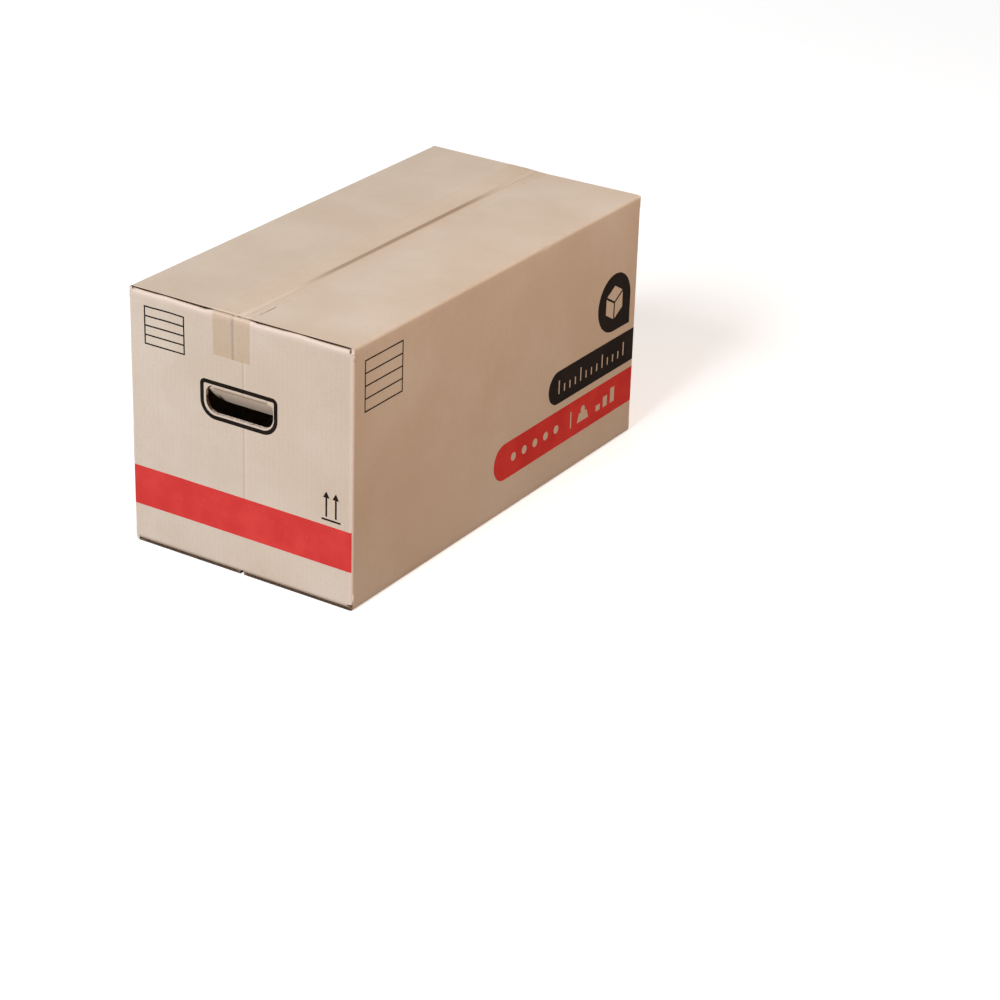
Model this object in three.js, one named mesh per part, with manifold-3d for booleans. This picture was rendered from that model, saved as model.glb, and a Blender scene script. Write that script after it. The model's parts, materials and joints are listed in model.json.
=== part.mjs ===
// Moving box: a slotted carton of double-wall corrugated board, folded up and taped shut.
// Millimetres, +Z up. The origin lies on the floor under the middle of the box.
// The short ends with the hand holes face -Y and +Y, the long sides face -X and +X.
// The print is the same after half a turn about Z, as two matching panels of one blank give it.

import * as THREE from "three";
import { mergeVertices } from "three/addons/utils/BufferGeometryUtils.js";
import Module from "manifold-3d";

const wasm = await Module();
wasm.setup();

// Inside room of the closed box
const insideLength = 600;
const insideWidth = 300;
const insideHeight = 300;

// Board: outer liner, fine flutes, middle liner, medium flutes, inner liner
const liner = 0.3;
const fineCore = 1.1;
const mediumCore = 2.0;
const finePitch = 3.4;
const mediumPitch = 6.5;
const fluteWeb = 0.4;
const fluteDepth = 4;
const board = 3 * liner + fineCore + mediumCore;

// Folds, flaps and slots
const foldInner = 0.4;
const foldOuter = foldInner + board;
const foldSegments = 6;
const flapGap = 0.3;
const seamGap = 3;
const majorSetback = 2.5;
const minorClearance = 1.5;
const minorReach = 150;

// Glued joint at the rear left corner
const tabWidth = 35;
const tabEdgeInset = 0.6;

// Hand holes and the tongues pushed in at them
const holeWidth = 93;
const holeHeight = 33;
const holeTopRadius = 10;
const holeBottomRadius = 15;
const holeBelowTop = 92;
const tongueAngle = THREE.MathUtils.degToRad(42);
const tongueFoldSink = THREE.MathUtils.degToRad(4);
const tongueFoldBulge = 0.3;
const tongueKerf = 0.4;
const holeSegments = 8;

// Tape
const tapeThickness = 0.1;
const tapeWidth = 50;
const tapeOffset = -10;
const tapeTab = 54;
const bottomTapeInset = 12;

// Print: a film of ink on the outer liner. The die cut the hand holes a little off their outlines.
const ink = 0.1;
const endBandBottom = 49;
const endBandHeight = 49;
const outlineGap = 2;
const outlineStroke = 5;
const outlineTopRadius = 7;
const outlineBottomRadius = 21;
const outlineShiftX = -1;
const outlineShiftZ = -0.5;
const redBandLength = 320;
const redBandBottom = 43.5;
const redBandHeight = 47;
const blackBandLength = 201;
const blackBandBottom = 100;
const blackBandHeight = 43;
const badgeRadius = 38;
const badgeFromCorner = 54;
const badgeAboveBand = 11;
const panelStroke = 1.8;
const panelRows = 4;
const panelInset = 22;
const panelBelowTop = 20;
const endPanelSize = [57, 45];
const sidePanelSize = [73, 62];
const arrowFromCorner = 22;
const arrowSpacing = 13;
const arrowHeadWidth = 9;
const arrowHeadHeight = 8;
const arrowShaft = 2.4;
const arrowHeight = 31;
const arrowBarWidth = 26;
const arrowBarGap = 2.2;
const arrowAboveBand = 6;
const printSegments = 16;

// Light marks left bare in the ink
const cubeEdge = 22;
const cubeLine = 2.6;
const tickCount = 13;
const tickPitch = 12.5;
const tickWidth = 2.6;
const tickHeight = 10;
const tallTickHeight = 18;
const tallTickEvery = 4;
const tickInset = 24;
const pipCount = 5;
const pipRadius = 5.5;
const pipPitch = 24;
const pipInset = 43;
const dividerWidth = 3;
const dividerHeight = 22;
const dividerInset = 173;
const weightWidth = 27;
const weightHeight = 20;
const weightInset = 201;
const barCount = 3;
const barWidth = 10;
const barPitch = 17;
const barStep = 6;
const barInset = 232;

// Places worked out from the sizes above
const halfWidth = insideWidth / 2 + board;
const halfLength = insideLength / 2 + board;
const majorHalf = halfLength - majorSetback;
const minorHalf = insideWidth / 2 - minorClearance;
const bottomMajorFace = tapeThickness;
const bottomMinorFace = bottomMajorFace + board + flapGap;
const insideFloor = bottomMinorFace + board;
const insideCeiling = insideFloor + insideHeight;
const topMinorFace = insideCeiling + board;
const topMajorFace = topMinorFace + flapGap + board;
const tubeBottom = bottomMinorFace + foldOuter;
const tubeTop = topMinorFace - foldOuter;
const holeTop = topMajorFace - holeBelowTop;
const holeBottom = holeTop - holeHeight;

const X = new THREE.Vector3(1, 0, 0);
const Y = new THREE.Vector3(0, 1, 0);
const Z = new THREE.Vector3(0, 0, 1);
const halfTurn = new THREE.Matrix4().makeScale(-1, -1, 1);

// Turns a closed geometry into a solid that can be joined and cut.
function solidOf(geometry) {
  const loose = geometry.index ? geometry.toNonIndexed() : geometry.clone();
  loose.deleteAttribute("normal");
  loose.deleteAttribute("uv");
  const merged = mergeVertices(loose, 1e-4);
  return new wasm.Manifold(
    new wasm.Mesh({
      numProp: 3,
      vertProperties: new Float32Array(merged.attributes.position.array),
      triVerts: new Uint32Array(merged.index.array),
    }),
  );
}

function geometryOf(solid) {
  const mesh = solid.getMesh();
  const indexed = new THREE.BufferGeometry();
  indexed.setAttribute("position", new THREE.BufferAttribute(mesh.vertProperties, 3));
  indexed.setIndex(new THREE.BufferAttribute(mesh.triVerts, 1));
  const flat = indexed.toNonIndexed();
  flat.computeVertexNormals();
  return flat;
}

// Extrudes a shape drawn on the axes u and v, from `start` along their common normal.
// Every arc in the shape gets `arcSegments` straight pieces.
function extrude(shape, u, v, start, depth, arcSegments = foldSegments) {
  const normal = new THREE.Vector3().crossVectors(u, v);
  const geometry = new THREE.ExtrudeGeometry(shape, {
    depth,
    bevelEnabled: false,
    curveSegments: arcSegments / 2,
  });
  const place = new THREE.Matrix4().makeBasis(u, v, normal);
  place.setPosition(normal.clone().multiplyScalar(start));
  return geometry.applyMatrix4(place);
}

const turned = (geometry) => geometry.clone().applyMatrix4(halfTurn);

function rectangle(left, bottom, right, top) {
  return new THREE.Shape([
    new THREE.Vector2(left, bottom),
    new THREE.Vector2(right, bottom),
    new THREE.Vector2(right, top),
    new THREE.Vector2(left, top),
  ]);
}

// A rectangle whose four corners have their own radii, counted from the lower left, anticlockwise.
function roundedOutline(left, bottom, right, top, [lowLeft, lowRight, highRight, highLeft]) {
  const outline = new THREE.Shape();
  outline.moveTo(left + lowLeft, bottom);
  outline.lineTo(right - lowRight, bottom);
  outline.absarc(right - lowRight, bottom + lowRight, lowRight, -Math.PI / 2, 0, false);
  outline.lineTo(right, top - highRight);
  outline.absarc(right - highRight, top - highRight, highRight, 0, Math.PI / 2, false);
  outline.lineTo(left + highLeft, top);
  outline.absarc(left + highLeft, top - highLeft, highLeft, Math.PI / 2, Math.PI, false);
  outline.lineTo(left, bottom + lowLeft);
  outline.absarc(left + lowLeft, bottom + lowLeft, lowLeft, Math.PI, Math.PI * 1.5, false);
  return outline;
}

// The points of a fold's outer face, from angle `from` to angle `to` about its centre.
function foldPoints(centreU, centreV, from, to, arcSegments = foldSegments) {
  return Array.from({ length: arcSegments + 1 }, (_, i) => {
    const angle = from + ((to - from) * i) / arcSegments;
    const u = centreU + foldOuter * Math.cos(angle);
    const v = centreV + foldOuter * Math.sin(angle);
    return new THREE.Vector2(u, v);
  });
}

// A thin strip on the left-hand side of a path, as a closed shape.
function strip(path, thickness) {
  const outer = path.map((point, i) => {
    const before = point.clone().sub(path[Math.max(i - 1, 0)]).normalize();
    const after = path[Math.min(i + 1, path.length - 1)].clone().sub(point).normalize();
    const along = before.clone().add(after).normalize();
    const side = new THREE.Vector2(-along.y, along.x);
    const straight = i === 0 || i === path.length - 1;
    const stretch = straight ? 1 : 1 / Math.sqrt((1 + before.dot(after)) / 2);
    return point.clone().addScaledVector(side, thickness * stretch);
  });
  return new THREE.Shape([...path, ...outer.reverse()]);
}

// Drops the points that a tight band, going round the path's left-hand side, would not touch.
function tighten(path) {
  const kept = [];
  for (const point of path) {
    while (kept.length > 1) {
      const [a, b] = kept.slice(-2);
      const bends = b.clone().sub(a).cross(point.clone().sub(b));
      if (bends < -1e-9) break;
      kept.pop();
    }
    kept.push(point);
  }
  return kept;
}

// Board

// The four walls in plan, with the glued tab inside the rear wall's left end.
function wallPlan() {
  const cornerX = halfWidth - foldOuter;
  const cornerY = halfLength - foldOuter;
  const jointY = cornerY - board;
  const quarter = Math.PI / 2;
  const outside = new THREE.Shape();
  outside.moveTo(halfWidth, -cornerY);
  outside.lineTo(halfWidth, cornerY);
  outside.absarc(cornerX, cornerY, foldOuter, 0, quarter, false);
  outside.lineTo(-halfWidth + tabEdgeInset, halfLength);
  outside.lineTo(-halfWidth + tabEdgeInset, halfLength - board);
  outside.lineTo(-cornerX, halfLength - board);
  outside.absarc(-cornerX, jointY, foldOuter, quarter, 2 * quarter, false);
  outside.lineTo(-halfWidth, -cornerY);
  outside.absarc(-cornerX, -cornerY, foldOuter, 2 * quarter, 3 * quarter, false);
  outside.lineTo(cornerX, -halfLength);
  outside.absarc(cornerX, -cornerY, foldOuter, 3 * quarter, 4 * quarter, false);
  const inside = new THREE.Path();
  inside.moveTo(insideWidth / 2, -cornerY);
  inside.lineTo(insideWidth / 2, cornerY);
  inside.absarc(cornerX, cornerY, foldInner, 0, quarter, false);
  inside.lineTo(-insideWidth / 2 + tabWidth, insideLength / 2);
  inside.lineTo(-insideWidth / 2 + tabWidth, insideLength / 2 - board);
  inside.lineTo(-cornerX, insideLength / 2 - board);
  inside.absarc(-cornerX, jointY, foldInner, quarter, 2 * quarter, false);
  inside.lineTo(-insideWidth / 2, -cornerY);
  inside.absarc(-cornerX, -cornerY, foldInner, 2 * quarter, 3 * quarter, false);
  inside.lineTo(cornerX, -insideLength / 2);
  inside.absarc(cornerX, -cornerY, foldInner, 3 * quarter, 4 * quarter, false);
  outside.holes.push(inside);
  return outside;
}

// A wall's last stretch, its fold and its flap, in section: u points out of the box, v is up.
function flapSection(wallFace, flapFace, up, freeEdge) {
  const centreU = wallFace - foldOuter;
  const centreV = flapFace - up * foldOuter;
  const root = up > 0 ? tubeTop - 2 * foldOuter : tubeBottom + 2 * foldOuter;
  const end = (up * Math.PI) / 2;
  const section = new THREE.Shape();
  section.moveTo(wallFace, root);
  section.lineTo(wallFace, centreV);
  section.absarc(centreU, centreV, foldOuter, 0, end, up < 0);
  section.lineTo(freeEdge, flapFace);
  section.lineTo(freeEdge, flapFace - up * board);
  section.lineTo(centreU, flapFace - up * board);
  section.absarc(centreU, centreV, foldInner, end, 0, up > 0);
  section.lineTo(wallFace - board, root);
  return section;
}

function majorFlap(flapFace, up) {
  const section = flapSection(halfWidth, flapFace, up, seamGap / 2);
  return extrude(section, X, Z, -majorHalf, 2 * majorHalf);
}

function minorFlap(flapFace, up) {
  const section = flapSection(halfLength, flapFace, up, halfLength - minorReach);
  return extrude(section, Y, Z, -minorHalf, 2 * minorHalf);
}

// Where the two cores lie, as depths below the outer face.
const cores = [
  { from: liner, to: liner + fineCore, pitch: finePitch },
  { from: 2 * liner + fineCore, to: board - liner, pitch: mediumPitch },
];

// The open slots between the liners, at a flap's end that is cut along the flutes.
function endSlots(flapFace, up) {
  return cores.flatMap(({ from, to }) =>
    [-majorHalf, majorHalf].map((end) => {
      const edges = [flapFace - up * from, flapFace - up * to];
      const low = Math.min(...edges);
      const slot = rectangle(seamGap / 2 + fluteDepth, low, halfWidth - foldOuter, Math.max(...edges));
      return extrude(slot, X, Z, -end - fluteDepth, 2 * fluteDepth);
    }),
  );
}

// The flute mouths along an edge cut across the flutes.
// They are drawn in (x, depth below the outer face), between -reach and reach.
function fluteMouths(reach) {
  return cores.flatMap(({ from, to, pitch }) => {
    const count = Math.floor((2 * reach) / (pitch / 2)) - 1;
    return Array.from({ length: count }, (_, i) => {
      const x = (i - (count - 1) / 2) * (pitch / 2);
      const half = pitch / 2 - fluteWeb;
      const [base, tip] = i % 2 ? [from, to] : [to, from];
      return new THREE.Shape([
        new THREE.Vector2(x - half, base),
        new THREE.Vector2(x + half, base),
        new THREE.Vector2(x, tip),
      ]);
    });
  });
}

// The hand hole's outline in (x, height above its bottom), grown by `grow` on every side.
function holeOutline(grow, bottomRadius, topRadius) {
  const half = holeWidth / 2 + grow;
  const radii = [bottomRadius, bottomRadius, topRadius, topRadius];
  return roundedOutline(-half, -grow, half, holeHeight + grow, radii);
}

// The tongue that was pushed in at a hand hole, hanging from the hole's top edge at the +Y end.
function tongue() {
  const outline = holeOutline(
    -tongueKerf,
    holeBottomRadius - tongueKerf,
    holeTopRadius - tongueKerf,
  );
  const lift = holeHeight - tongueKerf;
  let flat = solidOf(extrude(outline, X, Z, 0, board, holeSegments).translate(0, board, -lift));
  for (const mouth of fluteMouths(holeWidth / 2 - holeBottomRadius)) {
    const cut = extrude(mouth, X, new THREE.Vector3(0, -1, 0), -fluteDepth, 2 * fluteDepth);
    flat = flat.subtract(solidOf(cut.translate(0, board, -holeHeight + 2 * tongueKerf)));
  }
  const swing = new THREE.Matrix4().makeRotationX(-tongueAngle);
  const hung = geometryOf(flat).applyMatrix4(swing);
  const fold = new THREE.Shape();
  const middle = -tongueAngle / 2;
  fold.moveTo(-tongueFoldBulge * Math.cos(middle), -tongueFoldBulge * Math.sin(middle));
  fold.lineTo(board * Math.cos(tongueFoldSink), board * Math.sin(tongueFoldSink));
  fold.absarc(0, 0, board, tongueFoldSink, -tongueAngle - tongueFoldSink, true);
  const foldHalf = holeWidth / 2 - holeTopRadius;
  return [hung, extrude(fold, Y, Z, -foldHalf, 2 * foldHalf)].map((piece) =>
    piece.translate(0, insideLength / 2, holeTop),
  );
}

// A hand hole's cutters at the +Y end: the hole itself and the flute mouths in its lower edge.
function holeCutters() {
  const outline = holeOutline(0, holeBottomRadius, holeTopRadius);
  const hole = extrude(outline, X, Z, -halfLength - board, 3 * board, holeSegments);
  hole.translate(0, 0, holeBottom);
  const down = new THREE.Vector3(0, -1, 0);
  const mouths = fluteMouths(holeWidth / 2 - holeBottomRadius).map((mouth) =>
    extrude(mouth, X, down, 0, 2 * fluteDepth).translate(0, halfLength, holeBottom + fluteDepth),
  );
  return [hole, ...mouths];
}

// The whole blank, folded up as one piece.
function boxBlank() {
  let blank = solidOf(extrude(wallPlan(), X, Y, tubeBottom, tubeTop - tubeBottom));
  const flaps = [
    majorFlap(topMajorFace, 1),
    majorFlap(bottomMajorFace, -1),
    minorFlap(topMinorFace, 1),
    minorFlap(bottomMinorFace, -1),
  ];
  for (const flap of flaps) {
    blank = blank.add(solidOf(flap)).add(solidOf(turned(flap)));
  }
  for (const slot of [...endSlots(topMajorFace, 1), ...endSlots(bottomMajorFace, -1)]) {
    blank = blank.subtract(solidOf(slot)).subtract(solidOf(turned(slot)));
  }
  for (const cutter of holeCutters()) {
    blank = blank.subtract(solidOf(cutter)).subtract(solidOf(turned(cutter)));
  }
  for (const piece of tongue()) {
    blank = blank.add(solidOf(piece)).add(solidOf(turned(piece)));
  }
  return geometryOf(blank);
}

// Tape

// One strip over the top seam, bent down over both ends.
function topTape() {
  const centreY = halfLength - foldOuter;
  const rearFold = foldPoints(centreY, tubeTop, Math.PI / 2, 0);
  const over = [
    new THREE.Vector2(majorHalf, topMajorFace),
    ...rearFold,
    new THREE.Vector2(halfLength, topMajorFace - tapeTab),
  ];
  const rear = tighten(over);
  const front = rear.map((point) => new THREE.Vector2(-point.x, point.y)).reverse();
  const section = strip([...front, ...rear], tapeThickness);
  return extrude(section, Y, Z, tapeOffset - tapeWidth / 2, tapeWidth);
}

// The strip under the bottom seam, which stops short of both ends.
function bottomTape() {
  const reach = majorHalf - bottomTapeInset;
  const outline = rectangle(-tapeWidth / 2, -reach, tapeWidth / 2, reach);
  return extrude(outline, X, Y, 0, tapeThickness);
}

// Print

// Drawn in (x, z) on the front end, which faces -Y
function onFrontEnd(shape, lift, depth) {
  return extrude(shape, X, Z, halfLength + lift, depth, printSegments);
}

// Drawn in (y, z) on the right side, which faces +X
function onRightSide(shape, lift, depth) {
  return extrude(shape, Y, Z, halfWidth + lift, depth, printSegments);
}

// A film of ink on one face, with its marks left bare.
function film(onFace, field, marks = []) {
  let printed = solidOf(onFace(field, 0, ink));
  for (const mark of marks) {
    printed = printed.subtract(solidOf(onFace(mark, -ink, 3 * ink)));
  }
  return printed;
}

// The band across an end, as on the front one. It runs half-way round a corner's fold,
// and stops flat where the wall ends at the glued joint.
function endBand(endsAtJoint) {
  const cornerX = halfWidth - foldOuter;
  const cornerY = halfLength - foldOuter;
  const half = foldSegments / 2;
  const left = foldPoints(-cornerX, -cornerY, Math.PI * 1.25, Math.PI * 1.5, half);
  const right = endsAtJoint
    ? [new THREE.Vector2(halfWidth - tabEdgeInset, -halfLength)]
    : foldPoints(cornerX, -cornerY, Math.PI * 1.5, Math.PI * 1.75, half);
  const path = [...left, ...right].reverse();
  return extrude(strip(path, ink), X, Y, endBandBottom, endBandHeight);
}

function handHoleOutline() {
  const outer = holeOutline(outlineGap + outlineStroke, outlineBottomRadius, outlineTopRadius);
  const inner = holeOutline(
    outlineGap,
    outlineBottomRadius - outlineStroke,
    outlineTopRadius - outlineStroke,
  );
  const outline = geometryOf(film(onFrontEnd, outer, [inner]));
  return outline.translate(outlineShiftX, 0, holeBottom + outlineShiftZ);
}

// A frame with ruled lines to write on.
function writingPanel(onFace, left, top, [width, height]) {
  const bottom = top - height;
  const frame = rectangle(left, bottom, left + width, top);
  const rowHeight = (height - panelStroke) / panelRows;
  const rows = Array.from({ length: panelRows }, (_, row) => {
    const low = bottom + panelStroke + row * rowHeight;
    const high = low + rowHeight - panelStroke;
    return rectangle(left + panelStroke, low, left + width - panelStroke, high);
  });
  return geometryOf(film(onFace, frame, rows));
}

const arrowBase = endBandBottom + endBandHeight + arrowAboveBand;
const arrowFoot = arrowBase + arrowShaft + arrowBarGap;
const arrowMiddle = halfWidth - arrowFromCorner - arrowSpacing / 2;

function upArrow(side) {
  const x = arrowMiddle + (side * arrowSpacing) / 2;
  const neck = arrowFoot + arrowHeight - arrowHeadHeight;
  const outline = new THREE.Shape([
    new THREE.Vector2(x - arrowShaft / 2, arrowFoot),
    new THREE.Vector2(x + arrowShaft / 2, arrowFoot),
    new THREE.Vector2(x + arrowShaft / 2, neck),
    new THREE.Vector2(x + arrowHeadWidth / 2, neck),
    new THREE.Vector2(x, arrowFoot + arrowHeight),
    new THREE.Vector2(x - arrowHeadWidth / 2, neck),
    new THREE.Vector2(x - arrowShaft / 2, neck),
  ]);
  return geometryOf(film(onFrontEnd, outline));
}

function arrowBar() {
  const left = arrowMiddle - arrowBarWidth / 2;
  const outline = rectangle(left, arrowBase, left + arrowBarWidth, arrowBase + arrowShaft);
  return geometryOf(film(onFrontEnd, outline));
}

// A band with one round end, which runs half-way round the rear corner's fold.
function sideBand(length, bottom, height, marks) {
  const cornerX = halfWidth - foldOuter;
  const cornerY = halfLength - foldOuter;
  const radius = height / 2;
  const left = halfLength - length;
  const radii = [radius, 0, 0, radius];
  const field = roundedOutline(left, bottom, cornerY, bottom + height, radii);
  const fold = foldPoints(cornerX, cornerY, 0, Math.PI / 4, foldSegments / 2);
  const path = [new THREE.Vector2(halfWidth, cornerY - foldOuter), ...fold].reverse();
  const wrap = extrude(strip(path, ink), X, Y, bottom, height);
  return geometryOf(film(onRightSide, field, marks).add(solidOf(wrap)));
}

// Ruler ticks, every fourth one tall, in the middle of the black band's height.
function rulerTicks() {
  const start = halfLength - blackBandLength + tickInset;
  const low = blackBandBottom + (blackBandHeight - tallTickHeight) / 2;
  return Array.from({ length: tickCount }, (_, i) => {
    const y = start + i * tickPitch;
    const tall = i % tallTickEvery === 0;
    return rectangle(y - tickWidth / 2, low, y + tickWidth / 2, low + (tall ? tallTickHeight : tickHeight));
  });
}

// Pips, a divider, a weight and rising bars in the red band.
function loadMarks() {
  const start = halfLength - redBandLength;
  const middle = redBandBottom + redBandHeight / 2;
  const pips = Array.from({ length: pipCount }, (_, i) => {
    const pip = new THREE.Shape();
    pip.absarc(start + pipInset + i * pipPitch, middle, pipRadius, 0, Math.PI * 2, false);
    return pip;
  });
  const line = start + dividerInset;
  const divider = rectangle(
    line - dividerWidth / 2,
    middle - dividerHeight / 2,
    line + dividerWidth / 2,
    middle + dividerHeight / 2,
  );
  const foot = middle - weightHeight / 2;
  const bars = Array.from({ length: barCount }, (_, i) => {
    const left = start + barInset + i * barPitch;
    const height = weightHeight - (barCount - 1 - i) * barStep;
    return rectangle(left, foot, left + barWidth, foot + height);
  });
  return [...pips, divider, weightMark(start + weightInset, foot), ...bars];
}

// A scale weight: a tapered block with a knob.
function weightMark(y, foot) {
  const knob = weightHeight / 4;
  const shoulder = foot + weightHeight - 1.6 * knob;
  const mark = new THREE.Shape();
  mark.moveTo(y - weightWidth / 2, foot);
  mark.lineTo(y + weightWidth / 2, foot);
  mark.lineTo(y + weightWidth / 3, shoulder);
  mark.lineTo(y + knob * 0.8, shoulder);
  mark.absarc(y, foot + weightHeight - knob, knob, -Math.PI / 5, Math.PI * 1.2, false);
  mark.lineTo(y - knob * 0.8, shoulder);
  mark.lineTo(y - weightWidth / 3, shoulder);
  return mark;
}

// A round badge with one square corner, and the three faces of a cube left bare in it.
function badge() {
  const y = halfLength - badgeFromCorner;
  const z = blackBandBottom + blackBandHeight + badgeAboveBand + badgeRadius;
  const low = z - badgeRadius;
  const high = z + badgeRadius;
  const radii = [badgeRadius, 0, badgeRadius, badgeRadius];
  const field = roundedOutline(y - badgeRadius, low, y + badgeRadius, high, radii);
  const inset = cubeLine / 2;
  const faces = [0, 1, 2].map((face) => {
    const middle = Math.PI / 2 + (face * Math.PI * 2) / 3;
    const [u, w] = [middle - Math.PI / 3, middle + Math.PI / 3].map(
      (angle) => new THREE.Vector2(Math.cos(angle), Math.sin(angle)),
    );
    const out = new THREE.Vector2(Math.cos(middle), Math.sin(middle));
    const near = out.clone().multiplyScalar((inset * 2) / Math.sqrt(3)).add(new THREE.Vector2(y, z));
    const edge = cubeEdge - inset;
    return new THREE.Shape([
      near,
      near.clone().addScaledVector(u, edge),
      near.clone().addScaledVector(u, edge).addScaledVector(w, edge),
      near.clone().addScaledVector(w, edge),
    ]);
  });
  return geometryOf(film(onRightSide, field, faces));
}

// Materials
const kraft = new THREE.MeshStandardMaterial({ color: 0xcdb49b, roughness: 0.85, metalness: 0 });
const tapeFilm = new THREE.MeshStandardMaterial({ color: 0xc9ad86, roughness: 0.3, metalness: 0 });
const redInk = new THREE.MeshStandardMaterial({ color: 0xcf3a37, roughness: 0.7, metalness: 0 });
const blackInk = new THREE.MeshStandardMaterial({ color: 0x2a211c, roughness: 0.7, metalness: 0 });

const box = new THREE.Group();

function addMesh(name, geometry, material) {
  const mesh = new THREE.Mesh(geometry, material);
  mesh.name = name;
  box.add(mesh);
}

// Adds a print on one face and its twin on the face across the box.
function addPrint([name, twin], geometry, material) {
  addMesh(name, geometry, material);
  addMesh(twin, turned(geometry), material);
}

addMesh("box_blank", boxBlank(), kraft);
addMesh("top_tape", topTape(), tapeFilm);
addMesh("bottom_tape", bottomTape(), tapeFilm);

const panelTop = topMajorFace - panelBelowTop;
const endPanel = writingPanel(onFrontEnd, -halfWidth + panelInset, panelTop, endPanelSize);
const sidePanel = writingPanel(onRightSide, -halfLength + panelInset, panelTop, sidePanelSize);
addMesh("front_band", endBand(false), redInk);
addMesh("rear_band", turned(endBand(true)), redInk);
addPrint(["front_hand_hole_outline", "rear_hand_hole_outline"], handHoleOutline(), blackInk);
addPrint(["front_writing_panel", "rear_writing_panel"], endPanel, blackInk);
addPrint(["front_up_arrow_left", "rear_up_arrow_left"], upArrow(-1), blackInk);
addPrint(["front_up_arrow_right", "rear_up_arrow_right"], upArrow(1), blackInk);
addPrint(["front_arrow_bar", "rear_arrow_bar"], arrowBar(), blackInk);

const redBand = sideBand(redBandLength, redBandBottom, redBandHeight, loadMarks());
const blackBand = sideBand(blackBandLength, blackBandBottom, blackBandHeight, rulerTicks());
addPrint(["right_writing_panel", "left_writing_panel"], sidePanel, blackInk);
addPrint(["right_badge", "left_badge"], badge(), blackInk);
addPrint(["right_black_band", "left_black_band"], blackBand, blackInk);
addPrint(["right_red_band", "left_red_band"], redBand, redInk);

export default box;
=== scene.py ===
import json
import math

import bmesh
import bpy
from mathutils import Euler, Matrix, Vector, noise


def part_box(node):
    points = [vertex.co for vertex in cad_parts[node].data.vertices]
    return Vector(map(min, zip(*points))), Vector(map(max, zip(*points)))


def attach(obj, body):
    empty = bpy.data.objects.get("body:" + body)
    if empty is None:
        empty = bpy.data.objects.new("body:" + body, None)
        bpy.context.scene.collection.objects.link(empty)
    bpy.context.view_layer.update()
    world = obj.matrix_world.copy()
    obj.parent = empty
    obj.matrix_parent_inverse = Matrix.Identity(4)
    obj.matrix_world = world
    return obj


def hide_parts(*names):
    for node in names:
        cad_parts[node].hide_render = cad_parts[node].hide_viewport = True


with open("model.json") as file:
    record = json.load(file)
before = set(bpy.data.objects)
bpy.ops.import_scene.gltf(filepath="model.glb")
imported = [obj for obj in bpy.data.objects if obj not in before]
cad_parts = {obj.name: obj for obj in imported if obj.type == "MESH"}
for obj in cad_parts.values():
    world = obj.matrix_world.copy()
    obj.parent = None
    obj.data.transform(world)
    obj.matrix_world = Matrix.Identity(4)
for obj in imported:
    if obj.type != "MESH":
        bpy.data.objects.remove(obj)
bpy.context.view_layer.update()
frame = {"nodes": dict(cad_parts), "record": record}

MM = 0.001

# Camera, found from seven corners of the box in the 1000-pixel photograph
CAMERA_PLACE = Vector((1.7703, -2.5824, 1.4961))
CAMERA_TURN_DEG = (64.139, -1.661, 32.856)
CAMERA_CLIP = (0.05, 60.0)
FOCAL_PIXELS = 2848.4
PHOTO_PIXELS = 1000
SENSOR = 36.0

# Sizes of the board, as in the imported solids
BOARD = 4.0 * MM
FOLD_OUTER = 4.4 * MM
FLAP_GAP = 0.3 * MM
MAJOR_SETBACK = 2.5 * MM
SLOT_DEPTH = 4.0 * MM
TAPE_HALF = 25.0 * MM
TAPE_MIDDLE = -10.0 * MM
HOLE_REACH = 50.0 * MM
HOLE_LOW = 0.185
HOLE_FOLD = 0.212

blank_low, blank_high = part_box("box_blank")
HALF_WIDTH = blank_high[0]
HALF_LENGTH = blank_high[1]
TOP = blank_high[2]
BOTTOM = blank_low[2]
MIDDLE = (TOP + BOTTOM) / 2
HALF_HEIGHT = (TOP - BOTTOM) / 2
FLAP_END = HALF_LENGTH - MAJOR_SETBACK

# Bow of the walls, and the wave that makes it uneven
SIDE_BOW = 1.3 * MM
END_BOW = 0.9 * MM
WAVE = 0.35 * MM
WAVE_SCALE = 7.0

# Sag of the top flaps. FRONT_HOLD is the share that is left of it at the front end
LEFT_SAG_FRONT = 1.3 * MM
LEFT_SAG_REAR = 0.1 * MM
RIGHT_SAG = 1.9 * MM
RIGHT_SAG_AT_ENDS = 0.75
SAG_FADE = (60.0 * MM, 6.0 * MM)
FRONT_HOLD = 0.3
FRONT_HOLD_FADE = (-1.0, -0.9)

# The seam closes towards both ends, and stays open a little in the middle
SEAM_CLOSED = 1.2 * MM
SEAM_OPEN = 0.4 * MM
SEAM_BLEND = 14.0 * MM
SEAM_REACH = 60.0 * MM
SEAM_STILL = 1.5 * MM
SEAM_SHORTER = 1.05
BOTTOM_CLOSING = 1.2 * MM

# A dent in the fold along the top of the right side
FOLD_DENT = 1.6 * MM
FOLD_DENT_PLACE = 0.085
FOLD_DENT_SIZE = 8.0 * MM
FOLD_DENT_ACROSS = (0.985, 1.0)
FOLD_DENT_UP = (0.96, 1.0)
FOLD_DENT_INWARDS = 0.6
FOLD_DENT_DOWNWARDS = 0.8

# The ends' top edges stand up before the ends of the outer flaps, most under the tape
EDGE_RISE = 2.1 * MM
EDGE_RISE_WAVE = 1.5 * MM
EDGE_WAVE_SCALE = 32
EDGE_WAVE_ROW = 3.7
EDGE_DEPTH = (7.0 * MM, 3.0 * MM)
EDGE_FADE = (60.0 * MM, 9.0 * MM)
TAPED_RISE = 3.1 * MM
TAPED_FADE = 3.0 * MM

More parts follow.
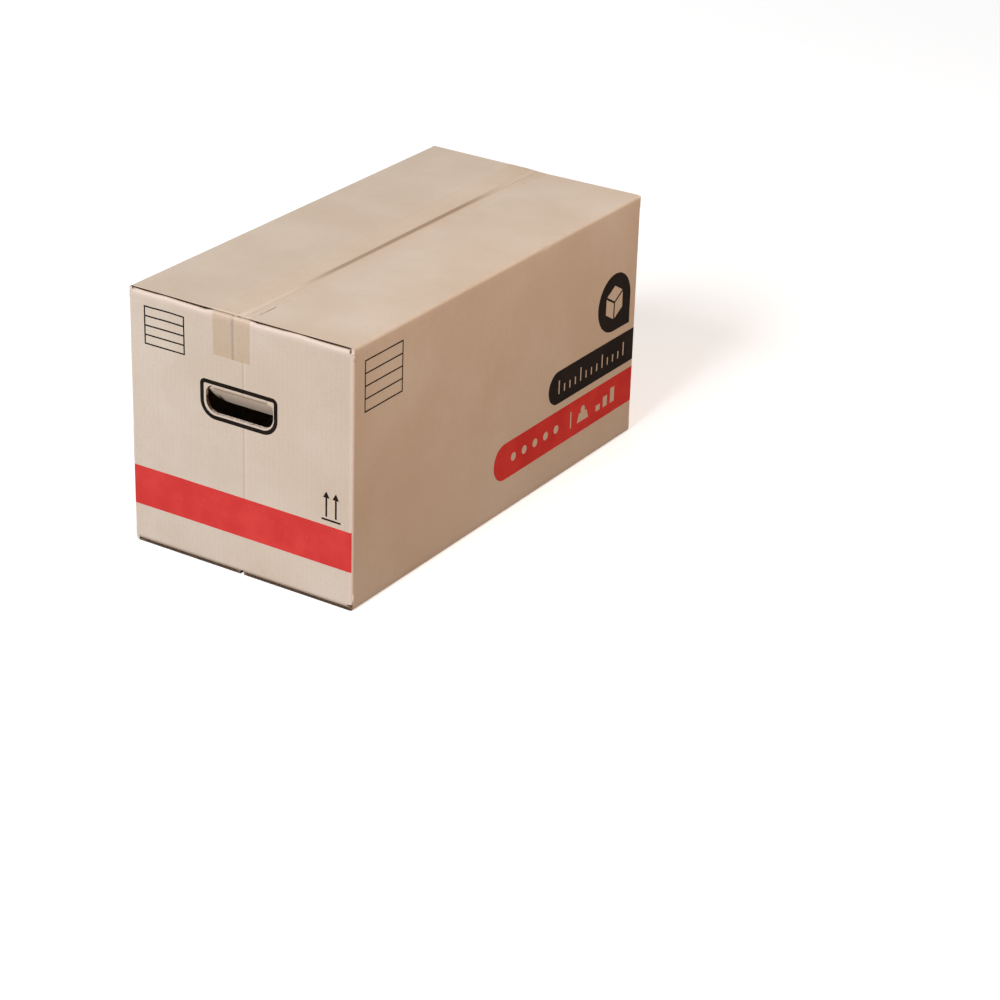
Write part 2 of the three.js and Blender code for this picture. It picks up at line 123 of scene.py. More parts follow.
# Planes that cut the pieces so that they can bend, measured from the middle, the ends and the top
CUT_PITCH = 12.0 * MM
TAPE_PITCH = 2.5 * MM
SEAM_CUTS = (3 * MM, 6 * MM, 9 * MM)
END_CUTS = (7 * MM, 5.5 * MM, 4 * MM)
TOP_CUTS = (9 * MM, 18 * MM)
DENT_CUTS = range(-4, 5)
DENT_CUTS_PER_SIZE = 3
CUT_WELD = 1e-7

# Clean-up of the copies
BOARD_SHRINK = 0.07 * MM
PRINT_SHRINK = 0.03 * MM
BOARD_WELD = 0.02 * MM
FINE_WELD = 0.0001 * MM
FLAT_ANGLE = math.radians(0.5)
SMOOTH_ANGLE = math.radians(35)

# Torn ends of the tape
RAGGED_END = 0.5 * MM
RAGGED_SCALE = (160, 9)
LOWEST_WITHIN = 0.01 * MM

# Kinds of face on the board, in the order of its materials, and the limits that tell them apart
# The last kind is painted shade: a darker copy of the cut board's colours, on slots and on the hand
# holes' side walls
LINER, CUT_EDGE, SLOT_IN_SHADE = range(3)
SKIN = 0.02 * MM
SEAM_EDGE = 2.0 * MM
JOINT_EDGE = 1.0 * MM
FACING = 0.7
FACING_SQUARELY = 0.9
FACING_HOLE_END = 0.6
FACING_JOINT = 0.99
FACING_UP = 0.5
JOINT_TILT = 0.1


# Shape of the used sheet

def smooth_step(low, high, value):
    share = min(max((value - low) / (high - low), 0.0), 1.0)
    return share * share * (3 - 2 * share)


def crown(share):
    """1 in the middle of a span that runs from -1 to 1, and 0 at its ends."""
    return max(0.0, 1 - share * share)


def edge_rise(x, y, z):
    """How far an end's crushed top edge and its fold stand up before the outer flaps' ends."""
    at_end = smooth_step(HALF_LENGTH - EDGE_DEPTH[0], HALF_LENGTH - EDGE_DEPTH[1], abs(y))
    on_wall = smooth_step(TOP - EDGE_FADE[0], TOP - EDGE_FADE[1], z)
    under_flap = 1 - smooth_step(TOP - BOARD - FLAP_GAP, TOP, z)
    row = math.copysign(EDGE_WAVE_ROW, y)
    wave = noise.noise(Vector((x * EDGE_WAVE_SCALE, row, 0))) * EDGE_RISE_WAVE
    taped = 1 - smooth_step(TAPE_HALF, TAPE_HALF + TAPED_FADE, abs(x - TAPE_MIDDLE))
    rise = EDGE_RISE + wave
    return (rise + (TAPED_RISE - rise) * taped) * at_end * on_wall * under_flap


def give(point):
    """Where a point of the crisp box lies on the real, slightly slack one."""
    x, y, z = point
    across, along, up = x / HALF_WIDTH, y / HALF_LENGTH, (z - MIDDLE) / HALF_HEIGHT
    wave = noise.noise(Vector((x, y, z)) * WAVE_SCALE) * WAVE
    dx = -(across**3) * crown(along) * crown(up) * (SIDE_BOW + wave)
    dy = -(along**3) * crown(across) * crown(up) * (END_BOW + wave)

    high = smooth_step(TOP - SAG_FADE[0], TOP - SAG_FADE[1], z)
    left_sag = LEFT_SAG_FRONT + (LEFT_SAG_REAR - LEFT_SAG_FRONT) * smooth_step(-1, 1, along)
    right_sag = RIGHT_SAG * (RIGHT_SAG_AT_ENDS + (1 - RIGHT_SAG_AT_ENDS) * crown(along))
    sag = left_sag + (right_sag - left_sag) * smooth_step(-SEAM_BLEND, SEAM_BLEND, x)
    lean = 1 - abs(across)
    held = FRONT_HOLD + (1 - FRONT_HOLD) * smooth_step(*FRONT_HOLD_FADE, along)
    dz = -high * lean * held * (sag + abs(wave))

    opening = -SEAM_CLOSED + (SEAM_CLOSED + SEAM_OPEN) * crown(along * SEAM_SHORTER)
    pull = max(0.0, 1 - abs(x) / SEAM_REACH) * smooth_step(0, SEAM_STILL, abs(x))
    low = 1 - smooth_step(BOTTOM, BOTTOM + 2 * BOARD, z)
    dx += math.copysign(pull * (high * opening - low * BOTTOM_CLOSING), x)

    dz += edge_rise(x, y, z)
    dent = FOLD_DENT * math.exp(-(((y - FOLD_DENT_PLACE) / FOLD_DENT_SIZE) ** 2))
    fold = smooth_step(*FOLD_DENT_ACROSS, across) * smooth_step(*FOLD_DENT_UP, up)
    dx -= dent * fold * FOLD_DENT_INWARDS
    dz -= dent * fold * FOLD_DENT_DOWNWARDS
    return Vector((x + dx, y + dy, z + dz))


def cut_places(axis):
    """Where planes across one axis cut every piece: evenly, and closer at the seam and the folds."""
    reach = (HALF_WIDTH, HALF_LENGTH, HALF_HEIGHT)[axis]
    middle = (0, 0, MIDDLE)[axis]
    count = int(2 * reach / CUT_PITCH)
    places = [middle - reach + (step + 1) * 2 * reach / (count + 1) for step in range(count)]
    if axis == 0:
        places += [side * place for side in (-1, 1) for place in SEAM_CUTS]
    if axis == 1:
        places += [side * (HALF_LENGTH - place) for side in (-1, 1) for place in END_CUTS]
        places += [FOLD_DENT_PLACE + step * FOLD_DENT_SIZE / DENT_CUTS_PER_SIZE for step in DENT_CUTS]
    if axis == 2:
        places += [TOP - place for place in TOP_CUTS]
    return places


def cut_into_tiles(mesh, axis, places):
    """Cuts the faces along planes across one axis, so that they can bend."""
    for cut in places:
        place = Vector((0, 0, 0))
        normal = Vector((0, 0, 0))
        place[axis] = cut
        normal[axis] = 1
        geometry = mesh.verts[:] + mesh.edges[:] + mesh.faces[:]
        bmesh.ops.bisect_plane(mesh, geom=geometry, plane_co=place, plane_no=normal, dist=CUT_WELD)


def edge_kind(face):
    """Which kind of surface a face of the crisp board is."""
    centre = face.calc_center_median()
    x, y, z = (abs(part) for part in centre)
    across, along, up = (abs(part) for part in face.normal)
    in_top_flap = TOP - BOARD + SKIN < z < TOP - SKIN
    in_flap = in_top_flap or BOTTOM + SKIN < z < BOTTOM + BOARD - SKIN
    if in_flap and y > FLAP_END - SLOT_DEPTH - SKIN and y < FLAP_END + SKIN:
        under_tape = centre[2] > MIDDLE and abs(centre[0] - TAPE_MIDDLE) < TAPE_HALF
        if under_tape:
            return LINER
        on_fold = x > HALF_WIDTH - FOLD_OUTER + SKIN
        # Open slots get the darker copy of the cut board, as painted shade
        if along > FACING or not on_fold:
            return SLOT_IN_SHADE
    if in_flap and x < SEAM_EDGE and across > FACING:
        return CUT_EDGE
    in_wall = HALF_LENGTH - BOARD + SKIN < y < HALF_LENGTH - SKIN
    if in_wall and x < HOLE_REACH and HOLE_LOW < z < HOLE_FOLD and along < FACING_SQUARELY:
        # Side walls of the hand holes that face across get the painted shade
        return SLOT_IN_SHADE if across > FACING_HOLE_END and x > HOLE_REACH / 2 else CUT_EDGE
    at_joint = in_wall and centre[0] < -HALF_WIDTH + JOINT_EDGE and centre[1] > 0
    return CUT_EDGE if at_joint and across > FACING_JOINT and up < JOINT_TILT else LINER


def tear_ends(mesh):
    """Makes the tape's two torn edges slightly uneven, as a dispenser's teeth leave them."""
    lowest = min(vertex.co.z for vertex in mesh.verts)
    for vertex in mesh.verts:
        if vertex.co.z < lowest + LOWEST_WITHIN:
            place = Vector((vertex.co.x * RAGGED_SCALE[0], vertex.co.y * RAGGED_SCALE[1], 0))
            vertex.co.z += (1 + noise.noise(place)) * RAGGED_END


def bent_copy(node, name, shrink, weld=FINE_WELD, fine_places=(), ragged=False, edges=False):
    """A copy of a CAD node that follows the give of the sheet, and stands for the node."""
    mesh = bmesh.new()
    mesh.from_mesh(frame["nodes"][node].data)
    bmesh.ops.remove_doubles(mesh, verts=mesh.verts, dist=weld)
    bmesh.ops.dissolve_limit(mesh, angle_limit=FLAT_ANGLE, verts=mesh.verts[:], edges=mesh.edges[:])
    for axis in range(3):
        cut_into_tiles(mesh, axis, cut_places(axis))
    cut_into_tiles(mesh, 0, fine_places)
    mesh.normal_update()
    if edges:
        for face in mesh.faces:
            face.material_index = edge_kind(face)
    if ragged:
        tear_ends(mesh)
    for vertex in mesh.verts:
        vertex.co -= vertex.normal * shrink
    for vertex in mesh.verts:
        vertex.co = give(vertex.co)
    data = bpy.data.meshes.new(name)
    mesh.to_mesh(data)
    mesh.free()
    data.shade_smooth()
    data.set_sharp_from_angle(angle=SMOOTH_ANGLE)
    piece = bpy.data.objects.new(name, data)
    bpy.context.scene.collection.objects.link(piece)
    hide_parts(node)
    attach(piece, "root")
    return piece


# Materials

class Nodes:
    """A short way to write a material's nodes."""

    def __init__(self, name):
        self.material = bpy.data.materials.new(name)
        self.material.use_nodes = True
        self.tree = self.material.node_tree
        self.shader = self.tree.nodes["Principled BSDF"]

    def add(self, kind, inputs=(), **settings):
        node = self.tree.nodes.new(kind)
        for key, value in settings.items():
            setattr(node, key, value)
        for key, value in dict(inputs).items():
            self.feed(node.inputs[key], value)
        return node

    def feed(self, socket, value):
        if isinstance(value, bpy.types.NodeSocket):
            self.tree.links.new(value, socket)
        else:
            socket.default_value = value

    def maths(self, operation, *values):
        node = self.add("ShaderNodeMath", operation=operation)
        for socket, value in zip(node.inputs, values):
            self.feed(socket, value)
        return node.outputs[0]

    def times(self, first, second):
        return self.maths("MULTIPLY", first, second)

    def larger(self, first, second):
        return self.maths("MAXIMUM", first, second)

    def unsigned(self, value):
        return self.maths("ABSOLUTE", value)

    def mix(self, factor, first, second):
        """A colour between two others."""
        node = self.add("ShaderNodeMix", {0: factor, 6: first, 7: second}, data_type="RGBA")
        return node.outputs[2]

    def between(self, factor, first, second):
        """A number between two others."""
        node = self.add("ShaderNodeMix", {0: factor, 2: first, 3: second}, data_type="FLOAT")
        return node.outputs[0]

    def noise(self, vector, scale, detail=2.0, roughness=0.5):
        inputs = {"Vector": vector, "Scale": scale, "Detail": detail, "Roughness": roughness}
        return self.add("ShaderNodeTexNoise", inputs).outputs["Fac"]

    def stretched(self, vector, scale):
        return self.add("ShaderNodeMapping", {"Vector": vector, "Scale": scale}).outputs[0]

    def ramp(self, value, low, high, to_low=0.0, to_high=1.0):
        span = {"From Min": low, "From Max": high, "To Min": to_low, "To Max": to_high}
        settings = {"interpolation_type": "SMOOTHSTEP"}
        return self.add("ShaderNodeMapRange", {"Value": value, **span}, **settings).outputs[0]

    def band(self, value, low, high, soft):
        """1 where value lies between low and high, fading over soft."""
        return self.times(self.ramp(value, low - soft, low), self.ramp(value, high + soft, high))

    def bump(self, height, strength=1.0):
        inputs = {"Height": height, "Strength": strength, "Distance": 1.0}
        return self.add("ShaderNodeBump", inputs).outputs[0]

    def finish(self, tone, roughness, gloss, **others):
        """Feeds the shader, and gives the finished material."""
        inputs = {"Base Color": tone, "Roughness": roughness, "Specular IOR Level": gloss, **others}
        for key, value in inputs.items():
            self.feed(self.shader.inputs[key], value)
        return self.material


def srgb(red, green, blue, alpha=1.0):
    """A colour written as in an image, 0 to 255, as the renderer's linear values."""
    def linear(value):
        share = value / 255
        return share / 12.92 if share <= 0.04045 else ((share + 0.055) / 1.055) ** 2.4
    return (linear(red), linear(green), linear(blue), alpha)


# Liner of the board. A range says which values of the noise fade a colour in, and a share says how
# much of it shows where it is strongest
KRAFT = srgb(208, 187, 165)
KRAFT_PALE = srgb(216, 197, 177)
KRAFT_WARM = srgb(203, 176, 150)
# Colour of the flecks, which also paints the flutes' shade and the crease's shade
KRAFT_FLECK_AND_SHADE = srgb(160, 128, 98)
# Colour of the painted highlight and wear on the folds, also used for the crease's painted highlight
KRAFT_LIT_WORN = srgb(229, 204, 187)
LINER_ROUGHNESS = 0.82
LINER_GLOSS = 0.25
CLOUD_SCALE = 9.0
CLOUD_RANGE = (0.3, 0.7)
WARM_SCALE = 3.5
WARM_RANGE = (0.42, 0.66)
WARM_SHARE = 0.45
FIBRE_STRETCH = (900.0, 900.0, 260.0)
FIBRE_RANGE = (0.5, 0.8)
FIBRE_SHARE = 0.30
FLECK_SCALE = 620.0
FLECK_RANGE = (0.72, 0.80)
FLECK_SHARE = 0.5
RIPPLE_SHARE = 0.03
FINE_PITCH = 3.4 * MM
MEDIUM_PITCH = 6.5 * MM
FINE_RELIEF = 0.009 * MM
MEDIUM_RELIEF = 0.015 * MM
FIBRE_RELIEF = 0.06 * MM

# Painted highlight and wear on the folds where the ends meet the sides and the top, measured inwards
# from the sides, the ends and the top
LIT_WORN_EDGE = (5.5 * MM, 2.0 * MM)
LIT_WORN_TOP = (12.0 * MM, 6.0 * MM)
LIT_WORN_SHARE = 0.55

# Painted highlight on the tongue near its fold
TONGUE_LIT = srgb(252, 230, 208)
TONGUE_INSIDE = (3.5 * MM, 5.0 * MM)
TONGUE_LIT_RISE = (0.196, 0.224)
TONGUE_LIT_FADE = (0.250, 0.240)
TONGUE_LIT_SHARE = 0.8

# Painted shade and painted highlight along a crease down the middle of the front end. A band is its low
# side, its high side and its softness
CREASE_HEIGHTS = (0.098, 0.262, 0.004)
CREASE_HIGHLIGHT_BAND = (7.6 * MM, 8.8 * MM, 0.6 * MM)
CREASE_SHADE_BAND = (4.6 * MM, 5.6 * MM, 0.8 * MM)
CREASE_HIGHLIGHT_SHARE = 0.35
CREASE_SHADE_SHARE = 0.30

# Cut board, and a darker copy of it that paints the shade in slots and on the hand holes' side walls
CORE = srgb(236, 212, 194)
CORE_DARK = srgb(118, 88, 66)
SLOT_SHADE = srgb(134, 104, 80)
SLOT_SHADE_DEEP = srgb(70, 50, 36)
CORE_ROUGHNESS = 0.95
CORE_GLOSS = 0.1
RAG_SCALE = 500.0
RAG_RANGE = (0.35, 0.65)
RAG_RELIEF = 0.3 * MM

# Ink, deep and pale. A share says how much liner shows through it
RED = (srgb(208, 58, 54), srgb(218, 66, 60))
BLACK = (srgb(25, 18, 13), srgb(34, 26, 21))
RED_BARE_SHARE = 0.22
BLACK_BARE_SHARE = 0.06
INK_ROUGHNESS = 0.85
INK_GLOSS = 0.06
INK_SCALE = 30.0
INK_RANGE = (0.35, 0.7)
BARE_RANGE = (0.60, 0.86)
PINHOLE_SCALE = 480.0
PINHOLE_RANGE = (0.74, 0.80)

# Packing film: its tint, how much it covers, and its streaks and wrinkles
FILM_TOP = srgb(249, 199, 124)
FILM_END = srgb(201, 160, 101)
FILM_STREAK = srgb(226, 186, 128)
FILM_COVER_TOP = 0.025
FILM_COVER_END = 0.10
FILM_ROUGHNESS = 0.4
STREAK_STRETCH = (420.0, 12.0, 12.0)
STREAK_RANGE = (0.3, 0.8)
STREAK_SHARE = 0.25
WRINKLE_STRETCH = (70.0, 16.0, 16.0)
WRINKLE_RELIEF = 0.4 * MM
WRINKLE_STRENGTH = 0.6

# Painted shade and painted highlight of the creases of the film's tabs, and painted shadow of its
# lifted right edge near the front end
FILM_CREASE_SHADE = srgb(146, 116, 84)
FILM_LIFTED_SHADOW = srgb(150, 124, 104)
FILM_CREASE_SHADE_BAND = (-9.2 * MM, -7.0 * MM, 1.8 * MM)
FILM_CREASE_HIGHLIGHT_BAND = (-5.2 * MM, -4.2 * MM, 0.8 * MM)
FILM_CREASE_SHADE_SHARE = 0.9
FILM_CREASE_COVER = 0.15
LIFTED_SHADOW_LENGTH = (-281.0 * MM, -256.0 * MM, 5.0 * MM)
LIFTED_SHADOW_WIDTH = (1.6 * MM, 0.2 * MM)
LIFTED_SHADOW_SOFT = 0.4 * MM
LIFTED_SHADOW_COVER = 0.6

# The film over the seam and over the outer flaps' ends
SEAM_FILM = srgb(212, 188, 164)
SEAM_SHADE = srgb(164, 134, 108)
SEAM_BRIDGE = (-3.8 * MM, 4.2 * MM, 0.4 * MM)
END_BRIDGE = (7.4 * MM, 7.0 * MM)
BRIDGE_TINT_RANGE = (0.0, 0.25)
BRIDGE_COVER = 0.97
BRIDGE_GLOSS_RANGE = (0.0, 0.5)
BRIDGE_GLOSS = (0.3, 0.03)
SEAM_VALLEY = (-1.8 * MM, 2.2 * MM, 2.2 * MM)
SEAM_VALLEY_LENGTH = (-0.10, 0.12, 0.12)


def surface_parts(nodes):
    """Position, its three parts, the coordinate that runs across the flutes, and the normal's parts."""
    geometry = nodes.add("ShaderNodeNewGeometry")
    position = geometry.outputs["Position"]
    parts = nodes.add("ShaderNodeSeparateXYZ", {"Vector": position}).outputs
    normal = nodes.add("ShaderNodeSeparateXYZ", {"Vector": geometry.outputs["True Normal"]}).outputs
    on_end = nodes.maths("GREATER_THAN", nodes.unsigned(normal[1]), FACING)
    return position, parts, nodes.between(on_end, parts[1], parts[0]), normal


def washboard(nodes, across, pitch):
    """The flutes' faint ripple, -1 to 1."""
    return nodes.maths("SINE", nodes.times(across, 2 * math.pi / pitch))


def paper_fibres(nodes, position):
    return nodes.noise(nodes.stretched(position, FIBRE_STRETCH), 1.0, detail=3.0, roughness=0.7)


def paper_colour(nodes, position, across, fibres):
    """Kraft liner: cloudy tone, short fibres, flecks and the flutes' shadow."""
    cloud = nodes.noise(position, CLOUD_SCALE, detail=4.0, roughness=0.6)
    warm = nodes.ramp(nodes.noise(position, WARM_SCALE), *WARM_RANGE)
    flecks = nodes.noise(position, FLECK_SCALE, detail=1.0)
    ripple = washboard(nodes, across, MEDIUM_PITCH)
    tone = nodes.mix(nodes.ramp(cloud, *CLOUD_RANGE), KRAFT, KRAFT_PALE)
    tone = nodes.mix(nodes.times(warm, WARM_SHARE), tone, KRAFT_WARM)
    tone = nodes.mix(nodes.ramp(fibres, *FIBRE_RANGE, to_high=FIBRE_SHARE), tone, KRAFT_FLECK_AND_SHADE)
    tone = nodes.mix(nodes.ramp(flecks, *FLECK_RANGE, to_high=FLECK_SHARE), tone, KRAFT_FLECK_AND_SHADE)
    # Painted shade of the flutes' ripple
    return nodes.mix(nodes.ramp(ripple, -1, 1, to_high=RIPPLE_SHARE), tone, KRAFT_FLECK_AND_SHADE)


def paper_bump(nodes, across, fibres):
    fine = nodes.times(washboard(nodes, across, FINE_PITCH), FINE_RELIEF)
    medium = nodes.times(washboard(nodes, across, MEDIUM_PITCH), MEDIUM_RELIEF)
    grain = nodes.times(fibres, FIBRE_RELIEF)
    return nodes.bump(nodes.maths("ADD", nodes.maths("ADD", fine, medium), grain))


def end_crease_shading(nodes, parts, normal):
    """The painted highlight and the painted shade of the crease down the middle of the front end."""
    facing = nodes.maths("LESS_THAN", normal[1], -FACING)
    place = nodes.times(facing, nodes.band(parts[2], *CREASE_HEIGHTS))
    pale = nodes.times(nodes.band(parts[0], *CREASE_HIGHLIGHT_BAND), place)
    shade_line = nodes.times(nodes.band(parts[0], *CREASE_SHADE_BAND), place)
    return nodes.times(pale, CREASE_HIGHLIGHT_SHARE), nodes.times(shade_line, CREASE_SHADE_SHARE)


def lit_worn_corners(nodes, parts):
    """Painted highlight and wear where the ends' upright and top edges meet the sides and the top."""
    side = nodes.ramp(nodes.unsigned(parts[0]), HALF_WIDTH - LIT_WORN_EDGE[0], HALF_WIDTH - LIT_WORN_EDGE[1])
    end = nodes.ramp(nodes.unsigned(parts[1]), HALF_LENGTH - LIT_WORN_EDGE[0], HALF_LENGTH - LIT_WORN_EDGE[1])
    high = nodes.ramp(parts[2], TOP - LIT_WORN_TOP[0], TOP - LIT_WORN_TOP[1])
    return nodes.times(nodes.times(end, nodes.larger(side, high)), LIT_WORN_SHARE)


def tongue_highlight(nodes, parts):
    """Painted highlight on the tongues near their fold, just inside the hand holes."""
    length = nodes.unsigned(parts[1])
    inside = nodes.ramp(length, HALF_LENGTH - TONGUE_INSIDE[0], HALF_LENGTH - TONGUE_INSIDE[1])
    in_hole = nodes.maths("LESS_THAN", nodes.unsigned(parts[0]), HOLE_REACH)
    near_fold = nodes.times(nodes.ramp(parts[2], *TONGUE_LIT_RISE), nodes.ramp(parts[2], *TONGUE_LIT_FADE))
    return nodes.times(nodes.times(nodes.times(inside, in_hole), near_fold), TONGUE_LIT_SHARE)


def kraft_material():
    nodes = Nodes("kraft_liner")
    position, parts, across, normal = surface_parts(nodes)
    fibres = paper_fibres(nodes, position)
    crease_highlight, crease_shade = end_crease_shading(nodes, parts, normal)
    tone = paper_colour(nodes, position, across, fibres)
    # Painted highlight and painted shade of the front end's crease
    tone = nodes.mix(crease_highlight, tone, KRAFT_LIT_WORN)
    tone = nodes.mix(crease_shade, tone, KRAFT_FLECK_AND_SHADE)
    # Painted highlight and wear on the corner folds
    tone = nodes.mix(lit_worn_corners(nodes, parts), tone, KRAFT_LIT_WORN)
    # Painted highlight on the tongues, just inside the hand holes
    tone = nodes.mix(tongue_highlight(nodes, parts), tone, TONGUE_LIT)
    bump = paper_bump(nodes, across, fibres)
    return nodes.finish(tone, LINER_ROUGHNESS, LINER_GLOSS, Normal=bump)


def raw_material(name, deep, pale):
    """Cut board: fluting medium and torn liner, rough and uneven."""
    nodes = Nodes(name)
    position = nodes.add("ShaderNodeNewGeometry").outputs["Position"]
    rag = nodes.noise(position, RAG_SCALE, detail=3.0, roughness=0.7)
    tone = nodes.mix(nodes.ramp(rag, *RAG_RANGE), deep, pale)
    bump = nodes.bump(nodes.times(rag, RAG_RELIEF))
    return nodes.finish(tone, CORE_ROUGHNESS, CORE_GLOSS, Normal=bump)


def ink_material(name, deep, pale, bare_share):
    """Ink that has soaked into the liner: fibres and tiny pinholes show through."""
    nodes = Nodes(name)
    position, _, across, _ = surface_parts(nodes)
    cloud = nodes.noise(position, INK_SCALE, detail=3.0)
    fibres = paper_fibres(nodes, position)
    pinholes = nodes.noise(position, PINHOLE_SCALE, detail=1.0)
    tone = nodes.mix(nodes.ramp(cloud, *INK_RANGE), deep, pale)
    tone = nodes.mix(nodes.ramp(fibres, *BARE_RANGE, to_high=bare_share), tone, KRAFT)
    tone = nodes.mix(nodes.ramp(pinholes, *PINHOLE_RANGE, to_high=bare_share), tone, KRAFT)
    bump = paper_bump(nodes, across, fibres)
    return nodes.finish(tone, INK_ROUGHNESS, INK_GLOSS, Normal=bump)


def seam_parts(nodes, parts, on_top):
    """Where the film bridges the seam and the flaps' ends, and where it sinks into the seam."""
    length = nodes.unsigned(parts[1])
    over_seam = nodes.band(parts[0], *SEAM_BRIDGE)
    over_end = nodes.ramp(length, HALF_LENGTH - END_BRIDGE[0], HALF_LENGTH - END_BRIDGE[1])
    bridge = nodes.times(nodes.larger(over_seam, over_end), on_top)
    sunk = nodes.times(nodes.band(parts[1], *SEAM_VALLEY_LENGTH), on_top)
    return bridge, nodes.times(nodes.band(parts[0], *SEAM_VALLEY), sunk)


def lifted_edge_shadow(nodes, parts):
    """Painted shadow where the film's right edge has come off the board."""
    edge = TAPE_MIDDLE + TAPE_HALF
    width = nodes.band(parts[0], edge - LIFTED_SHADOW_WIDTH[0], edge - LIFTED_SHADOW_WIDTH[1], LIFTED_SHADOW_SOFT)
    return nodes.times(nodes.band(parts[1], *LIFTED_SHADOW_LENGTH), width)


def tape_material():
    """Thin film: it warms the board a little on top, more on the ends, where it lies looser."""
    nodes = Nodes("packing_film")
    position, parts, _, normal = surface_parts(nodes)
    on_top = nodes.maths("GREATER_THAN", nodes.unsigned(normal[2]), FACING_UP)
    at_end = nodes.maths("SUBTRACT", 1.0, on_top)
    streaks = nodes.noise(nodes.stretched(position, STREAK_STRETCH), 1.0, detail=3.0, roughness=0.6)
    # Bands of the tab crease's painted shade and painted highlight
    shade_line = nodes.times(nodes.band(parts[0], *FILM_CREASE_SHADE_BAND), at_end)
    pale = nodes.times(nodes.band(parts[0], *FILM_CREASE_HIGHLIGHT_BAND), at_end)
    lifted = lifted_edge_shadow(nodes, parts)
    bridge, valley = seam_parts(nodes, parts, on_top)

    tone = nodes.mix(on_top, FILM_END, FILM_TOP)
    tone = nodes.mix(nodes.ramp(streaks, *STREAK_RANGE, to_high=STREAK_SHARE), tone, FILM_STREAK)
    # Painted shade and painted highlight of the tab's crease
    tone = nodes.mix(nodes.times(shade_line, FILM_CREASE_SHADE_SHARE), tone, FILM_CREASE_SHADE)
    tone = nodes.mix(pale, tone, KRAFT_PALE)
    # Painted shadow under the film's lifted right edge
    tone = nodes.mix(lifted, tone, FILM_LIFTED_SHADOW)
    tone = nodes.mix(nodes.ramp(bridge, *BRIDGE_TINT_RANGE), tone, SEAM_FILM)
    tone = nodes.mix(valley, tone, SEAM_SHADE)

    cover = nodes.between(on_top, FILM_COVER_END, FILM_COVER_TOP)
    cover = nodes.larger(cover, nodes.times(nodes.larger(shade_line, pale), FILM_CREASE_COVER))
    cover = nodes.larger(cover, nodes.times(lifted, LIFTED_SHADOW_COVER))
    cover = nodes.larger(cover, nodes.times(bridge, BRIDGE_COVER))
    gloss = nodes.ramp(bridge, *BRIDGE_GLOSS_RANGE, *BRIDGE_GLOSS)
    wrinkle = nodes.noise(nodes.stretched(position, WRINKLE_STRETCH), 1.0, detail=3.0)
    bump = nodes.bump(nodes.times(wrinkle, WRINKLE_RELIEF), WRINKLE_STRENGTH)
    return nodes.finish(tone, FILM_ROUGHNESS, gloss, Alpha=cover, Normal=bump)


# Pieces

BOARD_MATERIALS = (
    kraft_material(),
    raw_material("kraft_core", CORE_DARK, CORE),
    # Darker copy of the cut board: painted shade in slots and on the hand holes' side walls
    raw_material("kraft_core_shaded", SLOT_SHADE_DEEP, SLOT_SHADE),
)
INKS = {
    "red_ink": ink_material("red_ink", *RED, RED_BARE_SHARE),
    "black_ink": ink_material("black_ink", *BLACK, BLACK_BARE_SHARE),
}
PACKING_FILM = tape_material()


def make_board():
    piece = bent_copy("box_blank", "carton_board", BOARD_SHRINK, weld=BOARD_WELD, edges=True)
    for material in BOARD_MATERIALS:
        piece.data.materials.append(material)


def make_tapes():
    for node in ("top_tape", "bottom_tape"):
        low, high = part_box(node)
        count = int((high[0] - low[0]) / TAPE_PITCH)
        places = [low[0] + step * TAPE_PITCH for step in range(1, count)]
        torn = node == "top_tape"
        piece = bent_copy(node, f"{node}_film", 0.0, fine_places=places, ragged=torn)
        piece.data.materials.append(PACKING_FILM)


def make_prints():
    for row in frame["record"]["subparts"]:
        node, slot = row["node"], row["material_slot"]
        if slot in INKS:
            piece = bent_copy(node, f"{node}_print", PRINT_SHRINK)
            piece.data.materials.append(INKS[slot])


# Stage

FLOOR_REACH = 15.0
FLOOR_SEEN = (0.98, 0.94, 0.90, 1)
FLOOR_BOUNCE = srgb(118, 94, 76)
FLOOR_GLOW = 0.40
FLOOR_ROUGHNESS = 0.9
FLOOR_GLOSS = 0.1
WHITE = (1, 1, 1, 1)
ROOM_SEEN = 1.0
ROOM_LIGHT = 0.19
LAMP_TARGET = (0, 0, 0.15)

# Each lamp's place, the size of its disk, its power and its colour
LAMPS = {
    "key": ((-0.5, -8.0, 5.0), 4.5, 1005, (0.82, 0.90, 1.0)),
    "fill": ((1.5, 0.0, 1.25), 0.8, 16.5, (1.0, 0.82, 0.69)),
    "back": ((-4.5, 5.5, 0.95), 1.4, 110, (1.0, 0.97, 0.94)),
}


def make_camera():
    data = bpy.data.cameras.new("camera")
    data.sensor_width = SENSOR
    data.sensor_fit = "HORIZONTAL"
    data.lens = SENSOR * FOCAL_PIXELS / PHOTO_PIXELS
    data.clip_start, data.clip_end = CAMERA_CLIP
    camera = bpy.data.objects.new("camera", data)
    camera.location = CAMERA_PLACE
    camera.rotation_euler = Euler([math.radians(angle) for angle in CAMERA_TURN_DEG])
    bpy.context.scene.collection.objects.link(camera)
    bpy.context.scene.camera = camera


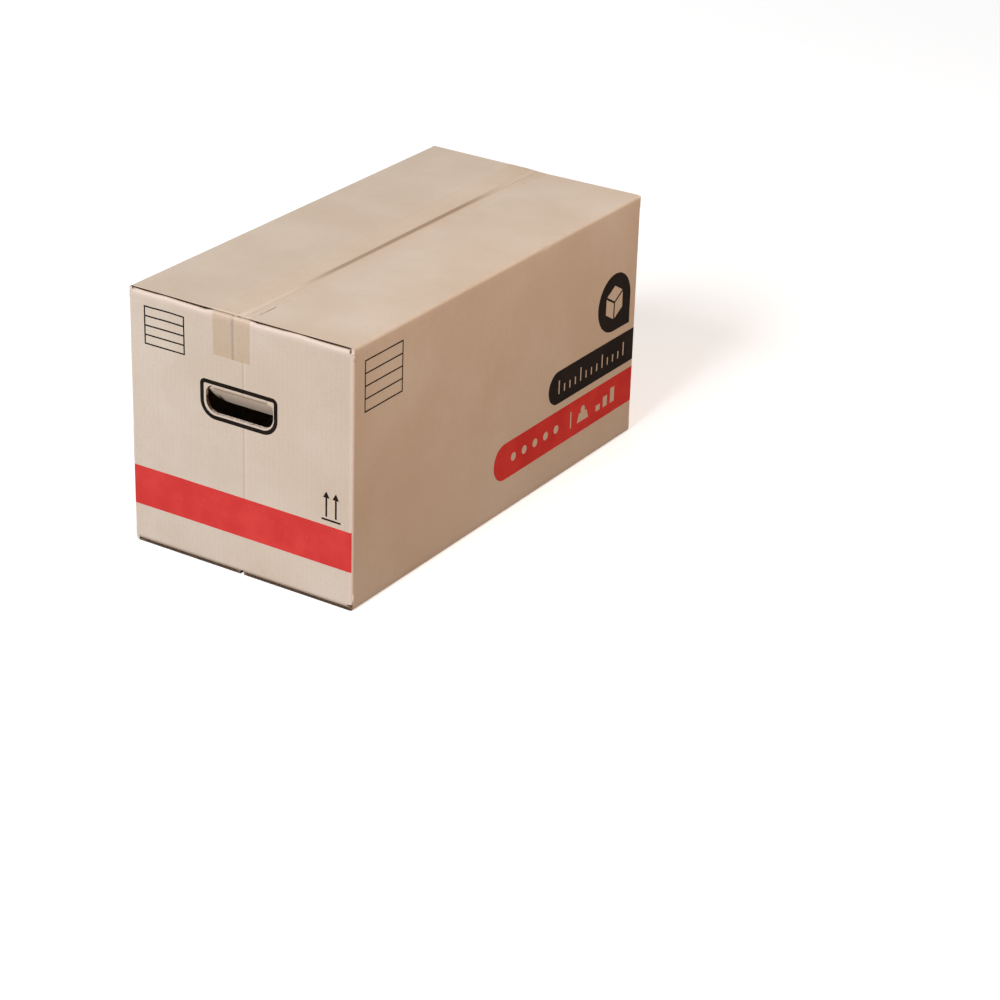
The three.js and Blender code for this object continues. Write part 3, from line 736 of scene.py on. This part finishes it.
def make_floor():
    """A plain floor that looks pale, and lights the box with a darker, warmer tone."""
    corners = [(x * FLOOR_REACH, y * FLOOR_REACH, 0) for x, y in ((-1, -1), (1, -1), (1, 1), (-1, 1))]
    data = bpy.data.meshes.new("floor")
    data.from_pydata(corners, [], [(0, 1, 2, 3)])
    floor = bpy.data.objects.new("floor", data)
    bpy.context.scene.collection.objects.link(floor)
    nodes = Nodes("floor_white")
    path = nodes.add("ShaderNodeLightPath").outputs
    seen = nodes.larger(path["Is Camera Ray"], path["Is Glossy Ray"])
    seen = nodes.larger(seen, path["Is Transmission Ray"])
    nodes.feed(nodes.shader.inputs["Emission Color"], WHITE)
    nodes.feed(nodes.shader.inputs["Emission Strength"], nodes.times(seen, FLOOR_GLOW))
    tone = nodes.mix(seen, FLOOR_BOUNCE, FLOOR_SEEN)
    data.materials.append(nodes.finish(tone, FLOOR_ROUGHNESS, FLOOR_GLOSS))


def make_lamp(name, place, size, power, colour):
    data = bpy.data.lights.new(name, "AREA")
    data.shape = "DISK"
    data.size = size
    data.energy = power
    data.color = colour
    lamp = bpy.data.objects.new(name, data)
    lamp.location = place
    aim = Vector(LAMP_TARGET) - Vector(place)
    lamp.rotation_euler = aim.to_track_quat("-Z", "Y").to_euler()
    bpy.context.scene.collection.objects.link(lamp)


def make_room():
    """A white room that is seen bright, and lights the box faintly."""
    world = bpy.data.worlds.new("studio")
    world.use_nodes = True
    tree = world.node_tree
    path = tree.nodes.new("ShaderNodeLightPath")
    seen = tree.nodes.new("ShaderNodeMath")
    seen.operation = "MAXIMUM"
    tree.links.new(path.outputs["Is Camera Ray"], seen.inputs[0])
    tree.links.new(path.outputs["Is Glossy Ray"], seen.inputs[1])
    strength = tree.nodes.new("ShaderNodeMapRange")
    strength.inputs["To Min"].default_value = ROOM_LIGHT
    strength.inputs["To Max"].default_value = ROOM_SEEN
    tree.links.new(seen.outputs[0], strength.inputs["Value"])
    background = tree.nodes["Background"]
    background.inputs["Color"].default_value = WHITE
    tree.links.new(strength.outputs[0], background.inputs["Strength"])
    bpy.context.scene.world = world


make_camera()
make_floor()
for lamp_name, lamp_settings in LAMPS.items():
    make_lamp(lamp_name, *lamp_settings)
make_room()
make_board()
make_tapes()
make_prints()
bpy.context.scene.view_settings.view_transform = "Standard"
